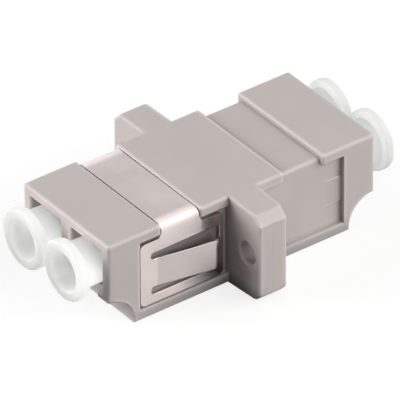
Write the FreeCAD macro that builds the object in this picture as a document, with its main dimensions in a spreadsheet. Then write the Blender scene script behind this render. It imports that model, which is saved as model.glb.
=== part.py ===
"""LC duplex fibre adapter with a flanged body, a folded spring clip and four dust plugs.

Frame: millimetres, +Z up.  The origin is under the middle of the body, on the plane where the two
housing halves are welded.  X runs along the fibres and Y across the two ports.  The front half,
which carries the clip, lies on the -X side.  The keyways for the connector latches open downwards.

The two housing halves are one and the same moulding, the front one turned half a turn about Z.
"""
import os

import FreeCAD
import Part
import Sketcher

# -------------------------------------------------------------------------------------------------
# Driving dimensions in millimetres and degrees: alias, value, meaning.
# -------------------------------------------------------------------------------------------------
SIZES = [
    ("half_length", 15.1, "joint plane to the open end of one housing half"),
    ("port_pitch", 6.25, "distance between the two fibre axes"),
    ("port_size", 4.65, "side of the square port"),
    ("port_bevel", 0.15, "lead-in around the mouth of the port"),
    ("side_wall", 1.05, "wall outside each port"),
    ("top_wall", 1.0, "wall above the ports"),
    ("bottom_wall", 1.65, "wall under the keyways"),
    ("keyway_width", 3.4, "latch slot between its two shoulders"),
    ("keyway_height", 2.2, "latch slot below the port"),
    ("keyway_depth", 9.0, "latch slot measured from the open end"),
    ("shoulder_depth", 5.2, "end of the latch shoulders, measured from the open end"),
    ("notch_radius", 2.92, "round cut-back of the latch side at the open end"),
    ("notch_rise", 0.38, "centre of that round above the body's bottom"),
    ("web_thickness", 3.0, "wall between the front and the rear ports"),
    ("flange_thickness", 3.1, "both halves of the flange together"),
    ("ear_drop", 0.13, "how far the ear's top edge falls towards its end"),
    ("ear_bevel", 0.87, "bevel along the upper end of each ear"),
    ("ear_rise", 0.33, "how far the ear's bottom edge rises towards its end"),
    ("ear_foot_bevel", 0.6, "bevel along the lower end of each ear"),
    ("screw_spacing", 18.5, "distance between the two screw holes"),
    ("screw_edge", 1.9, "screw hole axis to the end of the ear"),
    ("screw_diameter", 2.3, "screw hole"),
    ("screw_bevel", 0.15, "edge break of the screw hole"),
    ("edge_radius", 0.25, "rounding of the body's outer edges"),
    ("channel_bevel", 0.12, "edge break along the strip channel"),
    ("lip_radius", 0.2, "corners where the channel passes the lip above a pocket"),
    ("channel_depth", 0.5, "channel across the top for the clip's strip"),
    ("pocket_depth", 0.55, "side pocket for the clip's plate"),
    ("pocket_top", 1.1, "body above the side pocket"),
    ("pocket_bottom", 1.1, "body below the side pocket"),
    ("pocket_notch_gap", 0.58, "body between the side pocket and the notch"),
    ("rest_height", 0.1, "height of the wedge in the side pocket that carries the clip's plate"),
    ("rest_length", 1.6, "length of that wedge"),
    ("rest_width", 2.7, "height of that wedge up the side"),
    ("locator_diameter", 1.2, "pin that locates one half on the other"),
    ("locator_length", 1.0, "how far the pin stands out"),
    ("locator_inset", 1.5, "pin axis to the body's side and to its bottom"),
    ("locator_clearance", 0.05, "play around and beyond the pin"),
    ("sleeve_bore", 1.246, "bore of the split sleeve"),
    ("sleeve_wall", 0.187, "wall of the split sleeve"),
    ("sleeve_length", 6.8, "length of the split sleeve"),
    ("sleeve_slot", 0.35, "slot along the split sleeve"),
    ("sleeve_bevel", 0.08, "edge break of the sleeve's bore"),
    ("sleeve_play", 0.06, "play around the sleeve"),
    ("sleeve_end_play", 0.1, "play at each end of the sleeve"),
    ("barrel_wall", 0.58, "wall of the barrel that holds the sleeve"),
    ("barrel_lip", 0.8, "lip that keeps the sleeve in its barrel"),
    ("barrel_mouth", 1.95, "funnel at the barrel's mouth, where a ferrule is guided in"),
    ("ferrule_play", 0.1, "play around a ferrule where the funnel meets the sleeve"),
    ("sheet_thickness", 0.35, "spring steel of the clip"),
    ("fold_radius", 0.35, "inside radius of the clip's folds over the body"),
    ("clip_play", 0.06, "play around the clip in its channel and pockets"),
    ("clip_flange_gap", 0.6, "clip's plate to the flange"),
    ("strip_width", 4.38, "strip that joins the two plates over the top"),
    ("strip_centre", 6.95, "joint plane to the middle of the strip"),
    ("plate_radius", 0.6, "outer corners of the clip's plate"),
    ("plate_root", 1.3, "plate behind the tongue's root"),
    ("plate_tip", 0.4, "plate in front of the tongue's tip"),
    ("plate_lower", 1.05, "plate below the slots"),
    ("slot_lower", 0.82, "slot below the tongue"),
    ("slot_upper", 0.75, "slot above the tongue"),
    ("window_radius", 0.33, "corners of the slots"),
    ("tongue_height", 3.0, "width of the sprung tongue"),
    ("tongue_angle", 10.7, "how far the tongue flares from its plate"),
    ("tongue_flat", 0.55, "flat start of the tongue"),
    ("tongue_bend", 1.5, "inside radius of the bend at the tongue's root"),
    ("tip_angle", 55.0, "how far the tongue's tip turns back in"),
    ("tip_length", 0.6, "turned-in tip of the tongue"),
    ("tip_bend", 0.5, "inside radius of the bend at the tongue's tip"),
    ("tip_corner", 0.3, "corners of the tongue's tip"),
    ("panel_gap", 1.35, "room for a panel between the tongue's tip and the flange"),
    ("plug_gap", 0.25, "gap between the heads of two neighbouring plugs"),
    ("plug_head", 1.0, "thickness of the plug's head"),
    ("plug_neck", 1.7, "stem that shows between the body and the head"),
    ("plug_insertion", 7.5, "stem inside the port"),
    ("plug_play", 0.05, "play between the stem and the port's walls"),
    ("plug_wall", 0.45, "wall of the hollow stem"),
    ("plug_floor", 0.9, "closed inner end of the plug"),
    ("plug_bevel", 0.18, "edge break of the plug's head"),
    ("plug_lead_in", 0.4, "bevel of the plug's inner end"),
]

doc = FreeCAD.newDocument("lc_adapter")
sheet = doc.addObject("Spreadsheet::Sheet", "sizes")
for row, (alias, value, meaning) in enumerate(SIZES, start=1):
    sheet.set(f"A{row}", alias)
    sheet.set(f"B{row}", str(value))
    sheet.set(f"C{row}", meaning)
    sheet.setAlias(f"B{row}", alias)
doc.recompute()


def size(alias):
    """The expression that reads one driving dimension."""
    return f"sizes.{alias}"


def minus(expression):
    return f"(-{expression})"


def number(expression):
    """The present value of an expression, for picking edges and for a sketch's first guess."""
    return float(sheet.evalExpression(expression))


# -------------------------------------------------------------------------------------------------
# Places that more than one feature shares, as expressions.
# -------------------------------------------------------------------------------------------------
BODY_HALF_WIDTH = f"(({size('port_pitch')} + {size('port_size')}) / 2 + {size('side_wall')})"
PORT_Y = f"({size('port_pitch')} / 2)"
PORT_FLOOR_Z = f"({size('bottom_wall')} + {size('keyway_height')})"
PORT_AXIS_Z = f"({PORT_FLOOR_Z} + {size('port_size')} / 2)"
BODY_HEIGHT = f"({PORT_FLOOR_Z} + {size('port_size')} + {size('top_wall')})"
FLANGE_HALF = f"({size('flange_thickness')} / 2)"
SCREW_Y = f"({size('screw_spacing')} / 2)"
EAR_END_Y = f"({SCREW_Y} + {size('screw_edge')})"
SLEEVE_RADIUS = f"({size('sleeve_bore')} / 2 + {size('sleeve_wall')})"
SEAT_RADIUS = f"({SLEEVE_RADIUS} + {size('sleeve_play')})"
SEAT_END_X = f"({size('sleeve_length')} / 2 + {size('sleeve_end_play')})"
BARREL_END_X = f"({SEAT_END_X} + {size('barrel_lip')})"
LOCATOR_Y = f"({BODY_HALF_WIDTH} - {size('locator_inset')})"
CHANNEL_FLOOR_Z = f"({BODY_HEIGHT} - {size('channel_depth')})"
STRIP_X0 = f"({size('strip_centre')} - {size('strip_width')} / 2)"
STRIP_X1 = f"({size('strip_centre')} + {size('strip_width')} / 2)"
CHANNEL_X0 = f"({STRIP_X0} - {size('clip_play')})"
CHANNEL_X1 = f"({STRIP_X1} + {size('clip_play')})"
POCKET_FLOOR_Y = f"({BODY_HALF_WIDTH} - {size('pocket_depth')})"
POCKET_TOP_Z = f"({BODY_HEIGHT} - {size('pocket_top')})"
POCKET_END_X = f"({size('half_length')} - {size('notch_radius')} - {size('pocket_notch_gap')})"
PLATE_IN_Y = f"({POCKET_FLOOR_Y} + {size('rest_height')})"
PLATE_OUT_Y = f"({PLATE_IN_Y} + {size('sheet_thickness')})"
STRIP_OUT_Z = f"({CHANNEL_FLOOR_Z} + {size('sheet_thickness')})"
PLATE_X0 = f"({FLANGE_HALF} + {size('clip_flange_gap')})"
PLATE_X1 = f"({POCKET_END_X} - {size('clip_play')})"
PLATE_Z0 = f"({size('pocket_bottom')} + {size('clip_play')})"
PLATE_Z1 = f"({POCKET_TOP_Z} - {size('clip_play')})"
WINDOW_X0 = f"({PLATE_X0} + {size('plate_tip')})"
WINDOW_X1 = f"({PLATE_X1} - {size('plate_root')})"
WINDOW_Z0 = f"({PLATE_Z0} + {size('plate_lower')})"
TONGUE_Z0 = f"({WINDOW_Z0} + {size('slot_lower')})"
TONGUE_Z1 = f"({TONGUE_Z0} + {size('tongue_height')})"
WINDOW_Z1 = f"({TONGUE_Z1} + {size('slot_upper')})"


# -------------------------------------------------------------------------------------------------
# Helpers for sketches and features.
# -------------------------------------------------------------------------------------------------
def new_body(label):
    body = doc.addObject("PartDesign::Body", label)
    body.Label = label
    return body


def origin_plane(body, role):
    return next(feature for feature in body.Origin.OriginFeatures if feature.Role == role)


def new_sketch(body, name, role, offset="0", up="0"):
    """A sketch on one of the body's own origin planes, moved along that plane's normal and up."""
    sketch = body.newObject("Sketcher::SketchObject", name)
    sketch.AttachmentSupport = [(origin_plane(body, role), "")]
    sketch.MapMode = "FlatFace"
    sketch.setExpression("AttachmentOffset.Base.z", offset)
    sketch.setExpression("AttachmentOffset.Base.y", up)
    return sketch


def constrain(sketch, expression, kind, *where):
    """A dimension of the sketch that follows an expression."""
    index = sketch.addConstraint(Sketcher.Constraint(kind, *where, number(expression)))
    sketch.setExpression(f"Constraints[{index}]", expression)


def add_polygon(sketch, corners):
    """A closed outline whose corners are pairs of expressions."""
    points = [FreeCAD.Vector(number(u), number(v), 0) for u, v in corners]
    first, count = sketch.GeometryCount, len(points)
    for i in range(count):
        sketch.addGeometry(Part.LineSegment(points[i], points[(i + 1) % count]), False)
    for i, (u, v) in enumerate(corners):
        following = first + (i + 1) % count
        sketch.addConstraint(Sketcher.Constraint("Coincident", first + i, 2, following, 1))
        constrain(sketch, u, "DistanceX", -1, 1, first + i, 1)
        constrain(sketch, v, "DistanceY", -1, 1, first + i, 1)


def add_rectangle(sketch, u0, v0, u1, v1):
    add_polygon(sketch, [(u0, v0), (u1, v0), (u1, v1), (u0, v1)])


def add_circle(sketch, u, v, radius):
    centre = FreeCAD.Vector(number(u), number(v), 0)
    circle = Part.Circle(centre, FreeCAD.Vector(0, 0, 1), number(radius))
    index = sketch.addGeometry(circle, False)
    constrain(sketch, u, "DistanceX", -1, 1, index, 3)
    constrain(sketch, v, "DistanceY", -1, 1, index, 3)
    constrain(sketch, radius, "Radius", index)


def recompute(body, name, gains, before):
    """Recomputes, and stops where a feature didn't add or didn't take away material as it should."""
    doc.recompute()
    gain = body.Shape.Volume - before
    if abs(gain) < 1e-6 or (gain > 0) != gains:
        raise RuntimeError(f"{name} changed the volume by {gain}")


def volume(body):
    return body.Shape.Volume if body.Tip else 0.0


def extrude(body, kind, sketch, length=None, reverse=False, middle=False):
    """A Pad or a Pocket of the sketch.  With no length, a Pocket goes through everything."""
    before = volume(body)
    feature = body.newObject(f"PartDesign::{kind}", f"{sketch.Name}_{kind.lower()}")
    feature.Profile = sketch
    feature.Reversed = reverse
    feature.Midplane = middle
    if length is None:
        feature.Type = "ThroughAll"
    else:
        feature.setExpression("Length", length)
    recompute(body, feature.Name, kind == "Pad", before)
    return feature


def revolve(body, kind, sketch):
    """A Revolution or a Groove: the sketch turned once round its own horizontal axis."""
    before = volume(body)
    feature = body.newObject(f"PartDesign::{kind}", f"{sketch.Name}_{kind.lower()}")
    feature.Profile = sketch
    feature.ReferenceAxis = (sketch, ["H_Axis"])
    feature.Angle = 360
    recompute(body, feature.Name, kind == "Revolution", before)
    return feature


def mirror_sides(body, features):
    """Repeats features on the other side of the body's XZ plane."""
    mirrored = body.newObject("PartDesign::Mirrored", f"{features[0].Name}_other_side")
    mirrored.Originals = features
    mirrored.MirrorPlane = (origin_plane(body, "XZ_Plane"), [""])
    body.Tip = mirrored
    doc.recompute()


def dress(body, kind, name, amount, wanted):
    """A Fillet or Chamfer on each edge of the body whose bounding box passes wanted(box)."""
    base = body.Tip
    edges = [f"Edge{i}" for i, edge in enumerate(base.Shape.Edges, start=1)
             if wanted(edge.BoundBox)]
    if not edges:
        raise RuntimeError(f"{name} found no edge")
    feature = body.newObject(f"PartDesign::{kind}", name)
    feature.Base = (base, edges)
    feature.setExpression("Radius" if kind == "Fillet" else "Size", amount)
    doc.recompute()


def near(a, b):
    return abs(a - b) < 1e-4


def in_plane(low, high, expression):
    """True where a box has no extent along one axis and lies at the expression's value on it."""
    value = number(expression)
    return near(low, value) and near(high, value)


def at_corner(box, x, z):
    """True for an edge along Y that stands at the expressions x and z."""
    return in_plane(box.XMin, box.XMax, x) and in_plane(box.ZMin, box.ZMax, z)


def place(body, x, y, z, turned=False):
    """Puts a body at three expressions, turned half a turn about Z if asked."""
    turn = FreeCAD.Rotation(FreeCAD.Vector(0, 0, 1), 180 if turned else 0)
    body.Placement = FreeCAD.Placement(FreeCAD.Vector(0, 0, 0), turn)
    for axis, expression in (("x", x), ("y", y), ("z", z)):
        body.setExpression(f"Placement.Base.{axis}", expression)


# -------------------------------------------------------------------------------------------------
# Housing half, moulded in glass-filled plastic: a block with two ports and half of the flange.
# In its own frame the joint plane is X = 0 and the open end is X = half_length.
# -------------------------------------------------------------------------------------------------
def block_and_flange(body):
    block = new_sketch(body, "block", "YZ_Plane")
    add_rectangle(block, minus(BODY_HALF_WIDTH), "0", BODY_HALF_WIDTH, BODY_HEIGHT)
    extrude(body, "Pad", block, size("half_length"))
    half_way = number(size("half_length")) / 2
    dress(body, "Fillet", "outer_edges", size("edge_radius"),
          lambda b: b.XLength > half_way or in_plane(b.XMin, b.XMax, size("half_length")))

    top_z = f"({BODY_HEIGHT} - {size('ear_drop')})"
    one_ear = [
        (BODY_HALF_WIDTH, "0"), (f"({EAR_END_Y} - {size('ear_foot_bevel')})", size("ear_rise")),
        (EAR_END_Y, f"({size('ear_rise')} + {size('ear_foot_bevel')})"),
        (EAR_END_Y, f"({top_z} - {size('ear_bevel')})"),
        (f"({EAR_END_Y} - {size('ear_bevel')})", top_z), (BODY_HALF_WIDTH, BODY_HEIGHT)]
    flange = new_sketch(body, "flange", "YZ_Plane")
    add_polygon(flange, one_ear + [(minus(y), z) for y, z in reversed(one_ear)])
    extrude(body, "Pad", flange, FLANGE_HALF)
    ear_end = number(EAR_END_Y)
    dress(body, "Fillet", "ear_edges", size("edge_radius"),
          lambda b: in_plane(b.XMin, b.XMax, FLANGE_HALF)
          and near(max(abs(b.YMin), abs(b.YMax)), ear_end))


def clip_seats(body):
    """The channel across the top and, down both sides, the pockets that open into it."""
    above = f"({BODY_HEIGHT} + 1)"
    channel = new_sketch(body, "channel", "XZ_Plane")
    add_rectangle(channel, CHANNEL_X0, CHANNEL_FLOOR_Z, CHANNEL_X1, above)
    extrude(body, "Pocket", channel, middle=True)

    pocket = new_sketch(body, "pocket", "XZ_Plane", BODY_HALF_WIDTH)
    add_polygon(pocket, [
        (FLANGE_HALF, size("pocket_bottom")), (POCKET_END_X, size("pocket_bottom")),
        (POCKET_END_X, POCKET_TOP_Z), (CHANNEL_X1, POCKET_TOP_Z), (CHANNEL_X1, above),
        (CHANNEL_X0, above), (CHANNEL_X0, POCKET_TOP_Z), (FLANGE_HALF, POCKET_TOP_Z)])
    side = extrude(body, "Pocket", pocket, size("pocket_depth"))
    mirror_sides(body, [side])
    dress(body, "Fillet", "lip_corners", size("lip_radius"),
          lambda b: at_corner(b, CHANNEL_X0, POCKET_TOP_Z) or at_corner(b, CHANNEL_X1, POCKET_TOP_Z))

    dress(body, "Fillet", "fold_shoulders", size("fold_radius"),
          lambda b: in_plane(b.ZMin, b.ZMax, CHANNEL_FLOOR_Z)
          and (in_plane(b.YMin, b.YMax, POCKET_FLOOR_Y)
               or in_plane(b.YMin, b.YMax, minus(POCKET_FLOOR_Y))))
    width = number(BODY_HALF_WIDTH)
    dress(body, "Chamfer", "channel_edges", size("channel_bevel"),
          lambda b: in_plane(b.ZMin, b.ZMax, BODY_HEIGHT) and b.YLength > width
          and (in_plane(b.XMin, b.XMax, CHANNEL_X0) or in_plane(b.XMin, b.XMax, CHANNEL_X1)))

    rest_z0 = f"(({size('pocket_bottom')} + {POCKET_TOP_Z} - {size('rest_width')}) / 2)"
    rest = new_sketch(body, "rest", "XY_Plane", rest_z0)
    add_polygon(rest, [
        (f"({POCKET_END_X} - {size('rest_length')})", POCKET_FLOOR_Y),
        (POCKET_END_X, POCKET_FLOOR_Y), (POCKET_END_X, PLATE_IN_Y)])
    wedge = extrude(body, "Pad", rest, size("rest_width"))
    mirror_sides(body, [wedge])


def ports(body):
    """Two square ports, each with a latch keyway below it that widens behind its shoulders."""
    end = size("half_length")
    shoulder_x = f"({end} - {size('shoulder_depth')})"
    half_port = f"({size('port_size')} / 2)"
    half_key = f"({size('keyway_width')} / 2)"
    inside_port = f"({PORT_FLOOR_Z} + {half_port})"
    mouths = new_sketch(body, "mouths", "YZ_Plane", end)
    keyways = new_sketch(body, "keyways", "YZ_Plane", end)
    catches = new_sketch(body, "catches", "YZ_Plane", shoulder_x)
    for y in (PORT_Y, minus(PORT_Y)):
        left, right = f"({y} - {half_port})", f"({y} + {half_port})"
        add_rectangle(mouths, left, PORT_FLOOR_Z, right, f"({PORT_FLOOR_Z} + {size('port_size')})")
        add_rectangle(keyways, f"({y} - {half_key})", size("bottom_wall"),
                      f"({y} + {half_key})", inside_port)
        add_rectangle(catches, left, size("bottom_wall"), right, inside_port)
    extrude(body, "Pocket", mouths, f"({end} - {size('web_thickness')} / 2)")
    inner_y, width = number(BODY_HALF_WIDTH) - number(size("side_wall")) / 2, number(half_port)
    dress(body, "Chamfer", "port_lead_in", size("port_bevel"),
          lambda b: in_plane(b.XMin, b.XMax, end) and max(abs(b.YMin), abs(b.YMax)) < inner_y
          and max(b.YLength, b.ZLength) > width)
    extrude(body, "Pocket", keyways, size("keyway_depth"))
    extrude(body, "Pocket", catches, f"({size('keyway_depth')} - {size('shoulder_depth')})")

    notch = new_sketch(body, "notch", "XZ_Plane")
    add_circle(notch, end, size("notch_rise"), size("notch_radius"))
    extrude(body, "Pocket", notch, middle=True)


def sleeve_barrels(body):
    """The barrels that hold the split sleeves: open at the joint plane, with a funnelled lip."""
    barrels = new_sketch(body, "barrels", "YZ_Plane")
    for y in (PORT_Y, minus(PORT_Y)):
        add_circle(barrels, y, PORT_AXIS_Z, f"({SEAT_RADIUS} + {size('barrel_wall')})")
    extrude(body, "Pad", barrels, BARREL_END_X)

    bore = new_sketch(body, "barrel_bore", "XZ_Plane", PORT_Y, up=PORT_AXIS_Z)
    add_polygon(bore, [
        ("0", "0"), ("0", SEAT_RADIUS), (SEAT_END_X, SEAT_RADIUS),
        (SEAT_END_X, f"({size('sleeve_bore')} / 2 + {size('ferrule_play')})"),
        (BARREL_END_X, f"({size('barrel_mouth')} / 2)"), (BARREL_END_X, "0")])
    mirror_sides(body, [revolve(body, "Groove", bore)])


def screw_holes_and_locators(body):
    """A clearance hole in each ear, and the pin and socket that align the two halves."""
    holes = new_sketch(body, "screw_holes", "YZ_Plane")
    for y in (SCREW_Y, minus(SCREW_Y)):
        add_circle(holes, y, f"({BODY_HEIGHT} / 2)", f"({size('screw_diameter')} / 2)")
    extrude(body, "Pocket", holes, FLANGE_HALF, reverse=True)
    diameter = number(size("screw_diameter"))
    dress(body, "Chamfer", "screw_bevels", size("screw_bevel"),
          lambda b: in_plane(b.XMin, b.XMax, FLANGE_HALF) and near(b.YLength, diameter))

    pin = new_sketch(body, "locator_pin", "YZ_Plane")
    radius = f"({size('locator_diameter')} / 2)"
    add_circle(pin, LOCATOR_Y, size("locator_inset"), radius)
    extrude(body, "Pad", pin, size("locator_length"), reverse=True)
    socket = new_sketch(body, "locator_socket", "YZ_Plane")
    play = size("locator_clearance")
    add_circle(socket, minus(LOCATOR_Y), size("locator_inset"), f"({radius} + {play})")
    extrude(body, "Pocket", socket, f"({size('locator_length')} + {play})", reverse=True)


def housing_half(label, turned):
    body = new_body(label)
    block_and_flange(body)
    clip_seats(body)
    ports(body)
    sleeve_barrels(body)
    screw_holes_and_locators(body)
    place(body, "0", "0", "0", turned)
    return body


# -------------------------------------------------------------------------------------------------
# Spring clip: one strip of stainless steel folded over the body, in the frame of its half.
# -------------------------------------------------------------------------------------------------
def folded_strip(body):
    """The strip over the top, folded down at both sides as far as the window of each plate."""
    edge_z = f"({WINDOW_Z1} + {size('slot_upper')} / 2)"
    strip = new_sketch(body, "strip", "YZ_Plane", STRIP_X0)
    add_polygon(strip, [
        (minus(PLATE_OUT_Y), edge_z), (minus(PLATE_OUT_Y), STRIP_OUT_Z),
        (PLATE_OUT_Y, STRIP_OUT_Z), (PLATE_OUT_Y, edge_z), (PLATE_IN_Y, edge_z),
        (PLATE_IN_Y, CHANNEL_FLOOR_Z), (minus(PLATE_IN_Y), CHANNEL_FLOOR_Z),
        (minus(PLATE_IN_Y), edge_z)])
    extrude(body, "Pad", strip, size("strip_width"))
    width = number(size("strip_width"))
    dress(body, "Fillet", "inner_folds", size("fold_radius"),
          lambda b: in_plane(b.ZMin, b.ZMax, CHANNEL_FLOOR_Z) and near(b.XLength, width))
    dress(body, "Fillet", "outer_folds", f"({size('fold_radius')} + {size('sheet_thickness')})",
          lambda b: in_plane(b.ZMin, b.ZMax, STRIP_OUT_Z) and near(b.XLength, width))


def side_plate(body):
    """The plate in one pocket, with the window that leaves room round the tongue."""
    plate = new_sketch(body, "plate", "XZ_Plane", minus(PLATE_OUT_Y))
    add_rectangle(plate, PLATE_X0, PLATE_Z0, PLATE_X1, PLATE_Z1)
    add_rectangle(plate, WINDOW_X0, WINDOW_Z0, WINDOW_X1, WINDOW_Z1)
    return extrude(body, "Pad", plate, size("sheet_thickness"))


def sprung_tongue(body):
    """The tongue seen from above: flat at the plate, flared out, its tip turned back in.

    Returns the feature, the tip's two places along X, and where the sheet bends: a name, the place
    along X, the radius there.
    """
    half = f"({size('sheet_thickness')} / 2)"
    flare, turn_in = size("tongue_angle"), size("tip_angle")
    middle_y = f"({PLATE_IN_Y} + {half})"
    root_x = f"({WINDOW_X1} + {size('plate_root')} / 2)"
    bend_x = f"({WINDOW_X1} - {size('tongue_flat')})"
    tip_dx, tip_dy = f"({half} * sin({turn_in}))", f"({half} * cos({turn_in}))"
    tip_x = f"({FLANGE_HALF} + {size('panel_gap')} + {tip_dx})"
    crest_x = f"({tip_x} + {size('tip_length')} * cos({turn_in}))"
    crest_y = f"({middle_y} + ({bend_x} - {crest_x}) * tan({flare}))"
    tip_y = f"({crest_y} - {size('tip_length')} * sin({turn_in}))"
    mitre = f"({half} / cos(({flare} + {turn_in}) / 2))"
    crest_dx = f"({mitre} * sin(({flare} - {turn_in}) / 2))"
    crest_dy = f"({mitre} * cos(({flare} - {turn_in}) / 2))"
    bend_dx = f"({half} * tan({flare} / 2))"
    bend_in, bend_out = f"({bend_x} - {bend_dx})", f"({bend_x} + {bend_dx})"
    crest_in, crest_out = f"({crest_x} - {crest_dx})", f"({crest_x} + {crest_dx})"
    tip_in, tip_out = f"({tip_x} + {tip_dx})", f"({tip_x} - {tip_dx})"

    tongue = new_sketch(body, "tongue", "XY_Plane", TONGUE_Z0)
    add_polygon(tongue, [
        (root_x, PLATE_IN_Y), (bend_in, PLATE_IN_Y), (crest_in, f"({crest_y} - {crest_dy})"),
        (tip_in, f"({tip_y} - {tip_dy})"), (tip_out, f"({tip_y} + {tip_dy})"),
        (crest_out, f"({crest_y} + {crest_dy})"), (bend_out, PLATE_OUT_Y), (root_x, PLATE_OUT_Y)])
    feature = extrude(body, "Pad", tongue, size("tongue_height"))
    sheet_over = f"+ {size('sheet_thickness')})"
    return feature, (tip_out, tip_in), [
        ("root_bend_outside", bend_in, f"({size('tongue_bend')} {sheet_over}"),
        ("root_bend_inside", bend_out, size("tongue_bend")),
        ("tip_bend_outside", crest_out, f"({size('tip_bend')} {sheet_over}"),
        ("tip_bend_inside", crest_in, size("tip_bend")),
    ]


def spring_clip(label):
    body = new_body(label)
    folded_strip(body)
    plate = side_plate(body)
    tongue, (tip_x0, tip_x1), bends = sprung_tongue(body)
    mirror_sides(body, [plate, tongue])
    height = number(size("tongue_height"))
    for name, x, radius in bends:
        dress(body, "Fillet", name, radius,
              lambda b: in_plane(b.XMin, b.XMax, x) and near(b.ZLength, height))
    dress(body, "Fillet", "tip_corners", size("tip_corner"),
          lambda b: b.ZLength < 1e-4 and near(b.XMin, number(tip_x0))
          and near(b.XMax, number(tip_x1)))
    dress(body, "Fillet", "plate_corners", size("plate_radius"),
          lambda b: any(at_corner(b, x, z) for x in (PLATE_X0, PLATE_X1)
                        for z in (PLATE_Z0, PLATE_Z1)))
    dress(body, "Fillet", "window_corners", size("window_radius"),
          lambda b: any(at_corner(b, WINDOW_X0, z) for z in (WINDOW_Z0, WINDOW_Z1))
          or any(at_corner(b, WINDOW_X1, z) for z in (WINDOW_Z0, TONGUE_Z0, TONGUE_Z1, WINDOW_Z1)))
    dress(body, "Fillet", "strip_corners", f"({size('lip_radius')} + {size('clip_play')})",
          lambda b: at_corner(b, STRIP_X0, PLATE_Z1) or at_corner(b, STRIP_X1, PLATE_Z1))
    place(body, "0", "0", "0", turned=True)
    return body


# -------------------------------------------------------------------------------------------------
# Split sleeve of ceramic: a tube with one slot, which grips the two ferrules.
# -------------------------------------------------------------------------------------------------
def split_sleeve(label, y):
    body = new_body(label)
    ring = new_sketch(body, "ring", "YZ_Plane")
    add_circle(ring, "0", "0", SLEEVE_RADIUS)
    add_circle(ring, "0", "0", f"({size('sleeve_bore')} / 2)")
    extrude(body, "Pad", ring, size("sleeve_length"), middle=True)
    bore, half_length = number(size("sleeve_bore")), f"({size('sleeve_length')} / 2)"
    dress(body, "Chamfer", "bore_bevels", size("sleeve_bevel"),
          lambda b: near(b.YLength, bore) and near(abs(b.XMin), number(half_length)))
    half_slot = f"({size('sleeve_slot')} / 2)"
    slot = new_sketch(body, "slot", "YZ_Plane")
    add_rectangle(slot, minus(half_slot), "0", half_slot, f"({SLEEVE_RADIUS} + 1)")
    extrude(body, "Pocket", slot, middle=True)
    place(body, "0", y, PORT_AXIS_Z)
    return body


# -------------------------------------------------------------------------------------------------
# Dust plug of soft plastic: a round head on a hollow stem.  X = 0 is the mouth of its port.
# -------------------------------------------------------------------------------------------------
def dust_plug(label, y, turned):
    body = new_body(label)
    stem = f"({size('port_size')} / 2 - {size('plug_play')})"
    head = f"(({size('port_pitch')} - {size('plug_gap')}) / 2)"
    hollow = f"({stem} - {size('plug_wall')})"
    inner_x = minus(size("plug_insertion"))
    neck_x = size("plug_neck")
    face_x = f"({neck_x} + {size('plug_head')})"
    section = new_sketch(body, "section", "XZ_Plane")
    add_polygon(section, [
        (inner_x, "0"), (inner_x, stem), (neck_x, stem), (neck_x, head), (face_x, head),
        (face_x, hollow), (f"({inner_x} + {size('plug_floor')})", hollow),
        (f"({inner_x} + {size('plug_floor')})", "0")])
    revolve(body, "Revolution", section)
    head_edge, mouth, stem_edge = (2 * number(radius) for radius in (head, hollow, stem))
    dress(body, "Chamfer", "head_edges", size("plug_bevel"),
          lambda b: b.XLength < 1e-4 and (near(b.ZLength, head_edge)
                                          or near(b.ZLength, mouth) and near(b.XMin, number(face_x))))
    dress(body, "Chamfer", "lead_in", size("plug_lead_in"),
          lambda b: in_plane(b.XMin, b.XMax, inner_x) and near(b.ZLength, stem_edge))
    mouth_x = minus(size("half_length")) if turned else size("half_length")
    place(body, mouth_x, y, PORT_AXIS_Z, turned)
    return body


def write_parts(bodies):
    """Stops at a failed feature or an unsound solid, then writes one file for each sub-part."""
    doc.recompute()
    failed = [item.Label for item in doc.Objects if {"Invalid", "Error"} & set(item.State)]
    if failed:
        raise RuntimeError(f"these objects failed: {failed}")
    for body in bodies:
        shape = body.Shape
        if shape.isNull() or not shape.isValid() or len(shape.Solids) != 1:
            raise RuntimeError(f"{body.Label} isn't one sound solid")
    os.makedirs("parts", exist_ok=True)
    for body in bodies:
        body.Shape.exportStep(f"parts/{body.Label}.step")


write_parts([
    housing_half("front_housing", turned=True),
    housing_half("rear_housing", turned=False),
    spring_clip("spring_clip"),
    split_sleeve("split_sleeve_left", PORT_Y),
    split_sleeve("split_sleeve_right", minus(PORT_Y)),
    dust_plug("dust_plug_front_left", PORT_Y, turned=True),
    dust_plug("dust_plug_front_right", minus(PORT_Y), turned=True),
    dust_plug("dust_plug_rear_left", PORT_Y, turned=False),
    dust_plug("dust_plug_rear_right", minus(PORT_Y), turned=False),
])
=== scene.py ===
"""LC duplex fibre adapter: moulded housing halves, folded steel clip, ceramic sleeves, dust plugs.

Metres, +Z up, in the part's own frame: X runs along the fibres from the joint of the two halves,
and Y across the two ports.  Materials work in millimetres.
"""
import math

import bmesh
import bpy
import numpy as np
from mathutils import Matrix, Vector


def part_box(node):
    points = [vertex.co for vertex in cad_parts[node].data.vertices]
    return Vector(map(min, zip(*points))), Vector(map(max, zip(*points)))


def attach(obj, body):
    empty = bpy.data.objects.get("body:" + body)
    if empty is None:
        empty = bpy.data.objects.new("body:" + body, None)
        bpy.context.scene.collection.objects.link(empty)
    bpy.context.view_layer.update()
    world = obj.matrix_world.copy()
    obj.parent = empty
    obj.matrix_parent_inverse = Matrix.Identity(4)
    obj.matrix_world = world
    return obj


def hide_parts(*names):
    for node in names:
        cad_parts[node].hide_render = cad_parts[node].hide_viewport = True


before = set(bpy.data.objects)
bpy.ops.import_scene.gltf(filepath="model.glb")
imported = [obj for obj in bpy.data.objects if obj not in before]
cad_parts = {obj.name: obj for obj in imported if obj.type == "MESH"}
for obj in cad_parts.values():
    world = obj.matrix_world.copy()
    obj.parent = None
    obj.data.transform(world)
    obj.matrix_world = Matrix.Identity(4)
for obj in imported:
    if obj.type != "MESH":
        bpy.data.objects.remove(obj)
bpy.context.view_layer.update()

MM = 0.001


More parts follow.
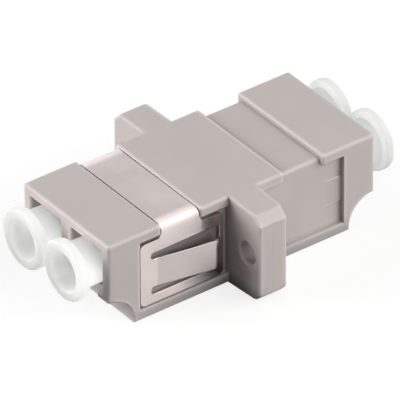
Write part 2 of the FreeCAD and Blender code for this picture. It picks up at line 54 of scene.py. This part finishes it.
# --- Housing halves ------------------------------------------------------------------------------
# Two halves of one moulding in glass-filled plastic, spark-eroded to a fine even grain and welded
# together at the flange.  The weld leaves a hairline round the ears.
class Value:
    """A shader socket that takes part in sums: each operation adds its own Math node."""

    def __init__(self, shader, socket):
        self.shader, self.socket = shader, socket

    def math(self, operation, a, b=0.0):
        return self.shader.node("ShaderNodeMath", {"operation": operation}, {0: a, 1: b})

    def __add__(self, other):
        return self.math("ADD", self, other)

    def __sub__(self, other):
        return self.math("SUBTRACT", self, other)

    def __rsub__(self, other):
        return self.math("SUBTRACT", other, self)

    def __mul__(self, other):
        return self.math("MULTIPLY", self, other)

    def __abs__(self):
        return self.math("ABSOLUTE", self)

    __radd__, __rmul__ = __add__, __mul__


class Shader:
    """A material's or a world's node tree, filled node by node."""

    def __init__(self, data):
        self.data = data
        data.use_nodes = True
        self.tree = data.node_tree
        self.tree.nodes.clear()

    def node(self, kind, settings=None, sockets=None, output=0):
        """One node: its settings first, then the values or links of its sockets."""
        node = self.tree.nodes.new(kind)
        for name, setting in (settings or {}).items():
            setattr(node, name, setting)
        for name, value in (sockets or {}).items():
            if isinstance(value, Value):
                self.tree.links.new(value.socket, node.inputs[name])
            else:
                node.inputs[name].default_value = value
        return Value(self, node.outputs[output]) if output is not None else None

    def place(self, scale=(1, 1, 1)):
        """Object coordinates in millimetres, stretched by scale."""
        here = self.node("ShaderNodeTexCoord", output="Object")
        per_mm = tuple(1000 * s for s in scale)
        return self.node("ShaderNodeMapping", {}, {"Vector": here, "Scale": per_mm})

    def axis(self, place, letter):
        return self.node("ShaderNodeSeparateXYZ", {}, {"Vector": place}, output=letter)

    def noise(self, place, per_mm, detail=2.0):
        return self.node("ShaderNodeTexNoise", {},
                         {"Vector": place, "Scale": per_mm, "Detail": detail, "Roughness": 0.55})

    def between(self, value, low, high, start=0.0, end=1.0):
        """Carries low..high over to start..end, held at both ends."""
        return self.node("ShaderNodeMapRange", {"clamp": True},
                         {"Value": value, "From Min": low, "From Max": high,
                          "To Min": start, "To Max": end})

    def band(self, value, rise, full, last, gone):
        """A mask that grows from rise to full and fades from last to gone."""
        return self.between(value, rise, full) * self.between(value, gone, last)

    def blend(self, share, first, second):
        """The first colour where share is 0 and the second where it is 1."""
        return self.node("ShaderNodeMix", {"data_type": "RGBA"},
                         {0: share, 6: first, 7: second}, output=2)

    def coats(self, colour, *coats):
        """Lays each coat's colour over the last one, as far as its mask goes."""
        for mask, tint in coats:
            colour = self.blend(mask, colour, (*tint, 1))
        return colour

    def plain_normal(self):
        return self.node("ShaderNodeNewGeometry", output="Normal")

    def soft_normal(self, radius):
        """The surface's direction, with its edges rounded to a radius in millimetres."""
        return self.node("ShaderNodeBevel", {"samples": 12}, {"Radius": radius * MM})

    def swap(self, share, first, second):
        """The first direction where share is 0 and the second where it is 1."""
        return self.node("ShaderNodeMix", {"data_type": "VECTOR"},
                         {0: share, 4: first, 5: second}, output=1)

    def bump(self, height, strength, depth, over=None):
        """Relief of a depth in millimetres, over the direction that is given, if any."""
        sockets = {"Strength": strength, "Distance": depth * MM, "Height": height}
        if over is not None:
            sockets["Normal"] = over
        return self.node("ShaderNodeBump", {}, sockets)

    def openness(self, reach, inside=False):
        """1 on open surfaces and less near walls, or near edges where it looks from inside."""
        return self.node("ShaderNodeAmbientOcclusion",
                         {"samples": 12, "inside": inside, "only_local": True},
                         {"Distance": reach * MM}, output="AO")

    def principled(self, **sockets):
        names = {name.replace("_", " ").title().replace("Ior", "IOR"): value
                 for name, value in sockets.items()}
        return self.node("ShaderNodeBsdfPrincipled", {}, names)

    def surface(self, shader, kind="ShaderNodeOutputMaterial"):
        self.node(kind, {}, {"Surface": shader}, output=None)
        return self.data


def moulded_plastic():
    """Fine grain under soft edges, which catch the light; the weld shows on the ears' ends.

    Convex edges, the step by the channel, the ears' ends near their edges and the wedges in the
    empty pockets carry painted highlights; corners, the foot by the ears, the rear half behind the
    ears and the pocket floor under the tongues carry painted shade.
    """
    plastic = Shader(bpy.data.materials.new("moulded_plastic"))
    place = plastic.place()
    along, aside, height = (plastic.axis(place, letter) for letter in "XYZ")
    from_weld, aside = abs(along), abs(aside)
    cloud = plastic.between(plastic.noise(place, 0.16, 3.0), 0.35, 0.65)
    specks = plastic.between(plastic.noise(place, 3.4), 0.62, 0.74)
    grain = plastic.noise(place, 9.0, 3.0)

    off_weld = plastic.between(from_weld, 0.16, 0.20)
    edges = plastic.swap(off_weld, plastic.plain_normal(), plastic.soft_normal(0.19))
    end_corner = plastic.between(from_weld, 14.2, 14.5) * plastic.between(aside, 5.6, 5.8)
    edges = plastic.swap(end_corner, edges, plastic.soft_normal(0.5))

    # Painted highlight: convex edges, where a look from inside soon meets the other face, are
    # coloured paler to stand in for the light that they catch.
    painted_shading = (plastic.between(plastic.openness(0.44, inside=True), 0.98, 0.55)
              * plastic.between(from_weld, 0.30, 0.50))
    # Painted shade: surfaces close to other walls, in corners and recesses, are coloured darker.
    painted_corner_shade = (plastic.between(plastic.openness(0.60), 0.95, 0.45)
                 * plastic.between(from_weld, 0.10, 0.20))
    # Painted shade on the rear half beside the ears, strongest next to them and low down.
    painted_shade_behind_ear = plastic.band(along, 1.5, 1.6, 1.6, 7.5) * plastic.between(height, 7.5, 2.0)
    # Painted shade along the foot of the sides, growing towards the ears.
    painted_foot_shade = plastic.between(height, 1.7, 0.3) * plastic.between(aside, 6.15, 6.3)
    towards_ear = (plastic.between(along, -13.5, -2.0, 0.05, 0.90)
                   * plastic.between(along, -0.5, -1.5)
                   + plastic.between(along, 0.5, 1.5, 0.0, 0.40))
    # Painted highlight along the step by the channel, on the rear half's top.
    painted_step_highlight = plastic.band(along, 4.30, 4.60, 4.70, 4.80) * plastic.between(height, 9.30, 9.40)
    ear_end = plastic.between(aside, 10.9, 11.0)
    # Painted highlight on the ears' ends towards their edges; the hairline is the weld's own dark
    # line.
    painted_ear_edge_highlight = ear_end * plastic.between(from_weld, 0.85, 1.40)
    hairline = ear_end * plastic.between(from_weld, 0.035, 0.015)
    # Painted highlight: two pale lines along the edges of the wedges in the rear half's empty
    # pockets.
    pocket_middle, wedge_edge = 4.75, 1.35
    painted_wedge_highlights = (plastic.between(abs(wedge_edge - abs(height - pocket_middle)), 0.07, 0.02)
                   * plastic.band(along, 9.7, 9.9, 11.2, 11.4)
                   * plastic.band(aside, 5.90, 5.93, 6.05, 6.10))
    # Painted shade, nearly black, on the pocket floor behind the tongues.
    painted_shade_under_tongue = (plastic.band(aside, 5.90, 5.94, 5.97, 6.02)
                    * plastic.band(along, -10.6, -10.2, -2.6, -2.4)
                    * plastic.band(height, 1.6, 3.0, 6.6, 7.0))
    colour = plastic.coats(
        plastic.blend(cloud, (0.492, 0.441, 0.425, 1), (0.512, 0.462, 0.447, 1)),
        (specks * 0.10, (0.42, 0.375, 0.36)),
        (painted_shading * 0.7, (0.69, 0.635, 0.625)),
        (painted_corner_shade * 0.45, (0.24, 0.205, 0.195)),
        (painted_shade_behind_ear * 0.45, (0.26, 0.235, 0.225)),
        (painted_foot_shade * towards_ear, (0.15, 0.16, 0.145)),
        (painted_step_highlight * 0.65, (0.72, 0.665, 0.655)),
        (painted_ear_edge_highlight * 0.30, (0.62, 0.57, 0.56)),
        (painted_wedge_highlights * 0.75, (0.72, 0.67, 0.66)),
        (painted_shade_under_tongue * 0.62, (0.035, 0.032, 0.03)),
        (hairline * 0.3, (0.30, 0.26, 0.25)))
    return plastic.surface(plastic.principled(
        base_color=colour, roughness=0.44 + 0.10 * cloud + 0.06 * grain, specular_ior_level=0.45,
        normal=plastic.bump(grain, 0.20, 0.012, over=edges)))


def dress_node(node, material):
    """Gives a CAD node its finish."""
    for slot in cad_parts[node].material_slots:
        slot.material = material


housing_finish = moulded_plastic()
for half in ("front_housing", "rear_housing"):
    dress_node(half, housing_finish)


# --- Spring clip ---------------------------------------------------------------------------------
# One sheet of hard-rolled stainless steel, 0.35 mm thick, punched and folded over the front half.
# Its tongues flare out of the side plates and catch behind the panel.
STRIP_CENTRE, STRIP_HALF_WIDTH = -6.95, 2.19
PLATE_END, PLATE_FOOT, PLATE_TOP = -11.54, 1.16, 8.34


def rolled_steel():
    """Faint rolling lines along the fibres, soft folds, and a painted highlight on the cut edges.

    The folds and the plates' crests below them are matt with a painted highlight, the tongues
    carry painted shade, and the plates carry painted shade low down beside the flange.
    """
    steel = Shader(bpy.data.materials.new("rolled_steel"))
    place = steel.place()
    along, aside, height = (steel.axis(place, letter) for letter in "XYZ")
    from_strip, aside = abs(along - STRIP_CENTRE), abs(aside)
    lines = steel.noise(steel.place((0.6, 14.0, 14.0)), 1.0, 3.0)
    smudge = steel.between(steel.noise(place, 0.3), 0.35, 0.65)

    top = steel.between(height, 7.7, 8.2)
    outer = steel.between(aside, 4.9, 5.5)
    fold = outer * steel.between(from_strip, 2.05, 1.75)
    # Painted highlight, with a matt finish, on the plates' crests below the folds.
    crest = steel.between(height, 6.6, 8.3) * outer * steel.between(from_strip, 2.5, 2.2)
    tongue_tip = steel.between(along, -3.9, -3.6) * steel.between(aside, 6.7, 6.9)
    plain, crisp = steel.plain_normal(), steel.soft_normal(0.12)
    soft = steel.swap(top * fold + tongue_tip, crisp, steel.soft_normal(0.95))
    soft = steel.swap(top * (1.0 - fold), soft, plain)

    # Painted highlight: where the rounded direction turns away from the flat one, at the cut edges,
    # the colour is paler, except on the top.
    alike = steel.node("ShaderNodeVectorMath", {"operation": "DOT_PRODUCT"},
                       {0: plain, 1: crisp}, output="Value")
    painted_edge_highlight = steel.between(1.0 - alike, 0.08, 0.30) * (1.0 - top)
    # Painted shade on the tongues, which stand out past the plates' faces.
    painted_shading = steel.between(aside, 6.405, 6.45)
    # Painted shade on the plates low down beside the flange.
    painted_shade_by_flange = steel.between(along, -7.5, -2.8) * steel.between(height, 3.6, 2.0)
    colour = steel.coats(
        steel.blend(smudge, (0.57, 0.505, 0.495, 1), (0.62, 0.555, 0.545, 1)),
        (painted_edge_highlight * 0.7, (0.82, 0.77, 0.76)),
        (crest * 0.8, (0.80, 0.735, 0.725)),
        (painted_shading * 0.60, (0.40, 0.36, 0.35)),
        (painted_shade_by_flange * 0.6, (0.20, 0.205, 0.19)))
    return steel.surface(steel.principled(
        base_color=colour, metallic=1.0,
        roughness=0.14 + 0.04 * smudge + 0.05 * lines + 0.42 * crest,
        normal=steel.bump(lines, 0.06, 0.003, over=soft)))


def share(values, start, end):
    """How far each value has come from start, 0, to end, 1, held at both."""
    return np.clip((values - start) / (end - start), 0, 1)


def relaxed_clip():
    """The clip's solid, merged and smooth over its folds, a little slacker in its seats.

    Beside the strip a point sinks by 0.28 mm times its share of the way up from 7.2 mm to the
    plates' top.  Points within 1 mm of the plates' end and foot move in by 0.10 mm and 0.08 mm
    times their share of that millimetre, and the strip's two edges by 0.07 mm.
    """
    solid = bmesh.new()
    solid.from_mesh(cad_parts["spring_clip"].data)
    bmesh.ops.remove_doubles(solid, verts=solid.verts, dist=0.001 * MM)
    bmesh.ops.dissolve_limit(solid, angle_limit=math.radians(0.5), verts=solid.verts,
                             edges=solid.edges)
    sheet = bpy.data.meshes.new("spring_clip_sheet")
    solid.to_mesh(sheet)
    solid.free()
    points = np.empty(3 * len(sheet.vertices))
    sheet.vertices.foreach_get("co", points)
    x, y, z = points.reshape(-1, 3).T / MM
    from_strip = np.abs(x - STRIP_CENTRE)
    beside_strip = share(from_strip, STRIP_HALF_WIDTH, STRIP_HALF_WIDTH + 0.26)
    strip_edge = share(from_strip, 1.9, STRIP_HALF_WIDTH) * share(z, PLATE_TOP, PLATE_TOP + 0.26)
    new_x = (x + 0.10 * share(x, PLATE_END + 1, PLATE_END)
             - 0.07 * strip_edge * np.sign(x - STRIP_CENTRE))
    new_z = (z + 0.08 * share(z, PLATE_FOOT + 1, PLATE_FOOT)
             - 0.28 * beside_strip * share(z, 7.2, PLATE_TOP))
    sheet.vertices.foreach_set("co", (np.stack([new_x, y, new_z], 1) * MM).ravel())
    sheet.attributes.remove(sheet.attributes["custom_normal"])
    sheet.shade_smooth()
    sheet.set_sharp_from_angle(angle=math.radians(32))
    sheet.materials.clear()
    sheet.materials.append(rolled_steel())
    piece = bpy.data.objects.new("spring_clip_sheet", sheet)
    bpy.context.scene.collection.objects.link(piece)
    flat = piece.modifiers.new("flat_faces_lead", "WEIGHTED_NORMAL")
    flat.keep_sharp = True
    return piece


clip = relaxed_clip()
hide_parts("spring_clip")
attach(clip, "adapter")


# --- Split sleeves -------------------------------------------------------------------------------
# Ground white ceramic tubes with one slot each, loose in the barrels inside the housing.
# Each holds the two ferrules of one fibre end to end.
def ground_ceramic():
    """White, with the fine rings that grinding leaves."""
    ceramic = Shader(bpy.data.materials.new("ground_ceramic"))
    rings = ceramic.noise(ceramic.place((30.0, 1.0, 1.0)), 1.0)
    colour = ceramic.blend(ceramic.between(rings, 0.3, 0.7),
                           (0.86, 0.85, 0.81, 1), (0.90, 0.89, 0.86, 1))
    return ceramic.surface(ceramic.principled(
        base_color=colour, roughness=0.16 + 0.08 * rings,
        normal=ceramic.bump(rings, 0.08, 0.003)))


ceramic_finish = ground_ceramic()
for sleeve in ("split_sleeve_left", "split_sleeve_right"):
    dress_node(sleeve, ceramic_finish)


# --- Dust plugs ----------------------------------------------------------------------------------
# Soft milky plastic, moulded hollow and pushed into the square ports by hand: a round head, a stem
# that shows a little, and a long tapered end inside the port.
STEM_RADIUS, STEM_TAPER = 2.275 * MM, 0.10 * MM
HOLLOW_RADIUS, HOLLOW_TAPER = 1.95 * MM, 0.3 * MM
HEAD_THICKNESS, CLOSED_END = 1.0 * MM, 0.9 * MM
CORNER_RADII = [radius * MM for radius in (0.5, 0.15, 0.2, 0.28, 0.22, 0.3)]


def rounded_profile(corners, radii, steps=10):
    """A polyline whose inner corners become arcs.

    At each corner the arc starts and ends at radius * tan(turn / 2) from it, and its points are
    the corner's circle centre plus the radius times a unit vector that turns evenly.
    """
    corners = np.asarray(corners, float)
    pieces = [corners[:1]]
    for before, here, after, radius in zip(corners, corners[1:], corners[2:], radii):
        into, out = here - before, after - here
        into, out = into / np.linalg.norm(into), out / np.linalg.norm(out)
        turn = math.atan2(into[0] * out[1] - into[1] * out[0], into @ out)
        start = here - into * radius * math.tan(abs(turn) / 2)
        inward = math.copysign(1.0, turn) * np.array([-into[1], into[0]])
        spoke = -inward
        angles = np.linspace(0.0, turn, steps)[:, None]
        turned = np.hstack([spoke[0] * np.cos(angles) - spoke[1] * np.sin(angles),
                            spoke[0] * np.sin(angles) + spoke[1] * np.cos(angles)])
        pieces.append(start + inward * radius + turned * radius)
    pieces.append(corners[-1:])
    return np.vstack(pieces)


def turned_solid(name, profile, centre, outward, segments=96):
    """A closed solid of revolution.

    Point (i, j) stands at profile station i, at its radius from the axis, turned by
    2 pi j / segments.  The two stations on the axis become single poles.
    """
    along, radius = profile[1:-1].T
    angle = np.linspace(0.0, 2 * math.pi, segments, endpoint=False)
    rings = np.stack(np.broadcast_arrays(
        along[:, None], radius[:, None] * np.cos(angle), radius[:, None] * np.sin(angle)), -1)
    poles = np.array([[profile[0, 0], 0.0, 0.0], [profile[-1, 0], 0.0, 0.0]])
    points = np.vstack([rings.reshape(-1, 3), poles])
    points *= (outward, outward, 1.0)
    points += centre

    count = len(along)
    i, j = np.meshgrid(np.arange(count - 1), np.arange(segments), indexing="ij")
    following = (j + 1) % segments
    quads = np.stack([i * segments + j, i * segments + following,
                      (i + 1) * segments + following, (i + 1) * segments + j], -1).reshape(-1, 4)
    j = np.arange(segments)
    following = (j + 1) % segments
    first_pole, last_ring = count * segments, (count - 1) * segments
    first = np.stack([np.full(segments, first_pole), following, j], -1)
    last = np.stack([np.full(segments, first_pole + 1), last_ring + j, last_ring + following], -1)
    mesh = bpy.data.meshes.new(name)
    mesh.from_pydata(points.tolist(), [],
                     quads[:, ::-1].tolist() + first[:, ::-1].tolist() + last[:, ::-1].tolist())
    mesh.shade_smooth()
    piece = bpy.data.objects.new(name, mesh)
    bpy.context.scene.collection.objects.link(piece)
    return piece


def milky_plastic():
    """Light goes a few millimetres into it, so the plug is even and bright all over.

    The head and the end inside the port let less light through than the neck between them, and both
    carry painted shade: the head is coloured darker, and the end darker from the port's mouth
    inwards.
    """
    milky = Shader(bpy.data.materials.new("milky_plastic"))
    place = milky.place()
    from_joint = abs(milky.axis(place, "X"))
    cloud = milky.between(milky.noise(place, 0.5), 0.35, 0.65)
    # Painted shade: the head, and the end inside the port from its mouth inwards, are coloured
    # darker than the neck.
    head = milky.between(from_joint, 16.3, 17.0)
    tail = milky.between(from_joint, 15.2, 11.0)
    colour = milky.coats(
        milky.blend(cloud, (0.905, 0.91, 0.90, 1), (0.925, 0.925, 0.92, 1)),
        (tail, (0.80, 0.81, 0.805)),
        (head, (0.79, 0.80, 0.795)))
    body = milky.principled(
        base_color=colour, roughness=0.34 + 0.10 * cloud, ior=1.45,
        subsurface_weight=0.9, subsurface_scale=1.0,
        subsurface_radius=(4.0 * MM, 4.0 * MM, 3.8 * MM),
        normal=milky.bump(milky.noise(place, 5.0), 0.12, 0.01))
    glow = milky.node("ShaderNodeBsdfTranslucent", {}, {"Color": (0.94, 0.942, 0.935, 1)})
    through = 0.76 - 0.24 * head - 0.26 * tail
    return milky.surface(milky.node("ShaderNodeMixShader", {}, {0: through, 1: body, 2: glow}))


plug_finish = milky_plastic()
for end, outward in (("front", -1.0), ("rear", 1.0)):
    for side in ("left", "right"):
        node = f"dust_plug_{end}_{side}"
        low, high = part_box(node)
        half_length, head_radius = (high.x - low.x) / 2, (high.z - low.z) / 2
        neck = half_length - HEAD_THICKNESS
        closed = -half_length + CLOSED_END
        profile = rounded_profile(
            [(-half_length, 0), (-half_length, STEM_RADIUS - STEM_TAPER),
             (neck, STEM_RADIUS), (neck, head_radius), (half_length, head_radius),
             (half_length, HOLLOW_RADIUS), (closed, HOLLOW_RADIUS - HOLLOW_TAPER), (closed, 0)],
            CORNER_RADII)
        plug = turned_solid(f"plug_{end}_{side}_body", profile, (low + high) / 2, outward)
        plug.data.materials.append(plug_finish)
        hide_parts(node)
        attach(plug, f"plug_{end}_{side}")


# --- Floor, light and camera ---------------------------------------------------------------------
# A pale sweep under the part, soft boxes around it, and a long lens from above the near port.
# The floor lies a hair under the part, so that the two never share a plane.
FLOOR_HALF_WIDTH, FLOOR_HEIGHT = 0.6, -0.02 * MM


def ray(shader, kind):
    """1 for the rays of one kind and 0 for all others."""
    return shader.node("ShaderNodeLightPath", output=f"Is {kind} Ray")


def pale_sweep():
    """White to the camera, pale in the steel, and dull to the light that it throws back up.

    In the steel it shows a painted shadow: darker right under the part, and darkest beside the
    ears.
    """
    sweep = Shader(bpy.data.materials.new("pale_sweep"))

    def lit_paint(paint, glow, strength):
        """A matt paint with a glow of its own."""
        matt = sweep.node("ShaderNodeBsdfDiffuse", {}, {"Color": paint})
        light = sweep.node("ShaderNodeEmission", {}, {"Color": glow, "Strength": strength})
        return sweep.node("ShaderNodeAddShader", {}, {0: matt, 1: light})

    place = sweep.place()
    along, aside = sweep.axis(place, "X"), abs(sweep.axis(place, "Y"))
    # Painted shadow in the steel's reflections: the glow that glossy rays see is darker under the
    # part and darkest beside the ears.
    painted_shadow_by_ear = sweep.band(along, -5.5, -2.0, 1.5, 3.5) * sweep.between(aside, 15.0, 10.5)
    reflected_shadow_tone = sweep.blend(sweep.between(aside, 6.2, 8.2), (0.42, 0.43, 0.41, 1), (0.90, 0.89, 0.88, 1))
    reflected_shadow_tone = sweep.coats(reflected_shadow_tone, (painted_shadow_by_ear * 0.95, (0.03, 0.035, 0.03)))
    dull = sweep.node("ShaderNodeBsdfDiffuse", {}, {"Color": (0.03, 0.03, 0.03, 1)})
    pale = lit_paint((0.30, 0.295, 0.29, 1), reflected_shadow_tone, 1.0)
    white = lit_paint((0.24, 0.24, 0.24, 1), (1, 1, 1, 1), 0.79)
    lower = sweep.node("ShaderNodeMixShader", {}, {0: ray(sweep, "Glossy"), 1: dull, 2: pale})
    direct = sweep.between(ray(sweep, "Camera") + ray(sweep, "Transmission"), 0, 1)
    return sweep.surface(sweep.node("ShaderNodeMixShader", {}, {0: direct, 1: lower, 2: white}))


floor_mesh = bpy.data.meshes.new("floor")
floor_mesh.from_pydata([(x * FLOOR_HALF_WIDTH, y * FLOOR_HALF_WIDTH, FLOOR_HEIGHT)
                        for x, y in ((-1, -1), (1, -1), (1, 1), (-1, 1))], [], [(0, 1, 2, 3)])
floor = bpy.data.objects.new("floor", floor_mesh)
floor.data.materials.append(pale_sweep())
bpy.context.scene.collection.objects.link(floor)


def studio_walls():
    """White behind the part and in its reflections; only a little light comes from them."""
    walls = Shader(bpy.data.worlds.new("studio"))
    seen, mirrored, through = (ray(walls, kind) for kind in ("Camera", "Glossy", "Transmission"))
    strength = 0.13 + 0.87 * seen + 0.84 * mirrored + 0.82 * through
    straight = walls.between(seen + mirrored + through, 0, 1)
    tint = walls.blend(straight, (0.95, 1, 0.94, 1), (1, 1, 1, 1))
    light = walls.node("ShaderNodeBackground", {}, {"Color": tint, "Strength": strength})
    return walls.surface(light, "ShaderNodeOutputWorld")


bpy.context.scene.world = studio_walls()


def soft_box(name, towards, width, level, distance=0.45):
    """A square lamp that faces the part.  level is the light it sheds on a face turned to it.

    A square of half width h at distance d fills 4 / pi * s * atan(s) of such a face's sky, with
    s = h / sqrt(d^2 + h^2).
    """
    half = width / 2
    slope = half / math.hypot(distance, half)
    lamp = bpy.data.lights.new(name, "AREA")
    lamp.shape = "SQUARE"
    lamp.size = width
    lamp.energy = level * math.pi * width ** 2 / (4 / math.pi * slope * math.atan(slope))
    where = Vector(towards).normalized() * distance
    holder = bpy.data.objects.new(name, lamp)
    holder.location = where
    holder.rotation_euler = where.to_track_quat("Z", "Y").to_euler()
    bpy.context.scene.collection.objects.link(holder)
    return holder


soft_box("back_left", (-0.82, 0.50, 0.34), 0.34, 1.08)
soft_box("front_right", (0.48, -0.79, 0.36), 0.70, 1.28).visible_glossy = False
soft_box("gloss_card", (0.49, -0.46, 0.70), 0.40, 0.42).visible_diffuse = False

azimuth, elevation, roll = math.radians(-36.63), math.radians(34.56), math.radians(-0.29)
distance = 0.9
back = Vector((math.sin(azimuth) * math.cos(elevation),
               -math.cos(azimuth) * math.cos(elevation), math.sin(elevation)))
right = Vector((math.cos(azimuth), math.sin(azimuth), 0.0))
up = back.cross(right)
across = right * math.cos(roll) + up * math.sin(roll)
upward = back.cross(across)
aim = 0.005 * MM * across + 3.865 * MM * upward + Vector((0, 0, 0.2 * MM))
camera = bpy.data.objects.new("camera", bpy.data.cameras.new("camera"))
camera.data.sensor_width = 36.0
camera.data.lens = 884.8
camera.data.clip_start = 0.05
camera.data.clip_end = 5.0
facing = Matrix((across, upward, back)).transposed().to_4x4()
camera.matrix_world = Matrix.Translation(aim + back * distance) @ facing
bpy.context.scene.collection.objects.link(camera)
bpy.context.scene.camera = camera
bpy.context.scene.view_settings.view_transform = "Standard"
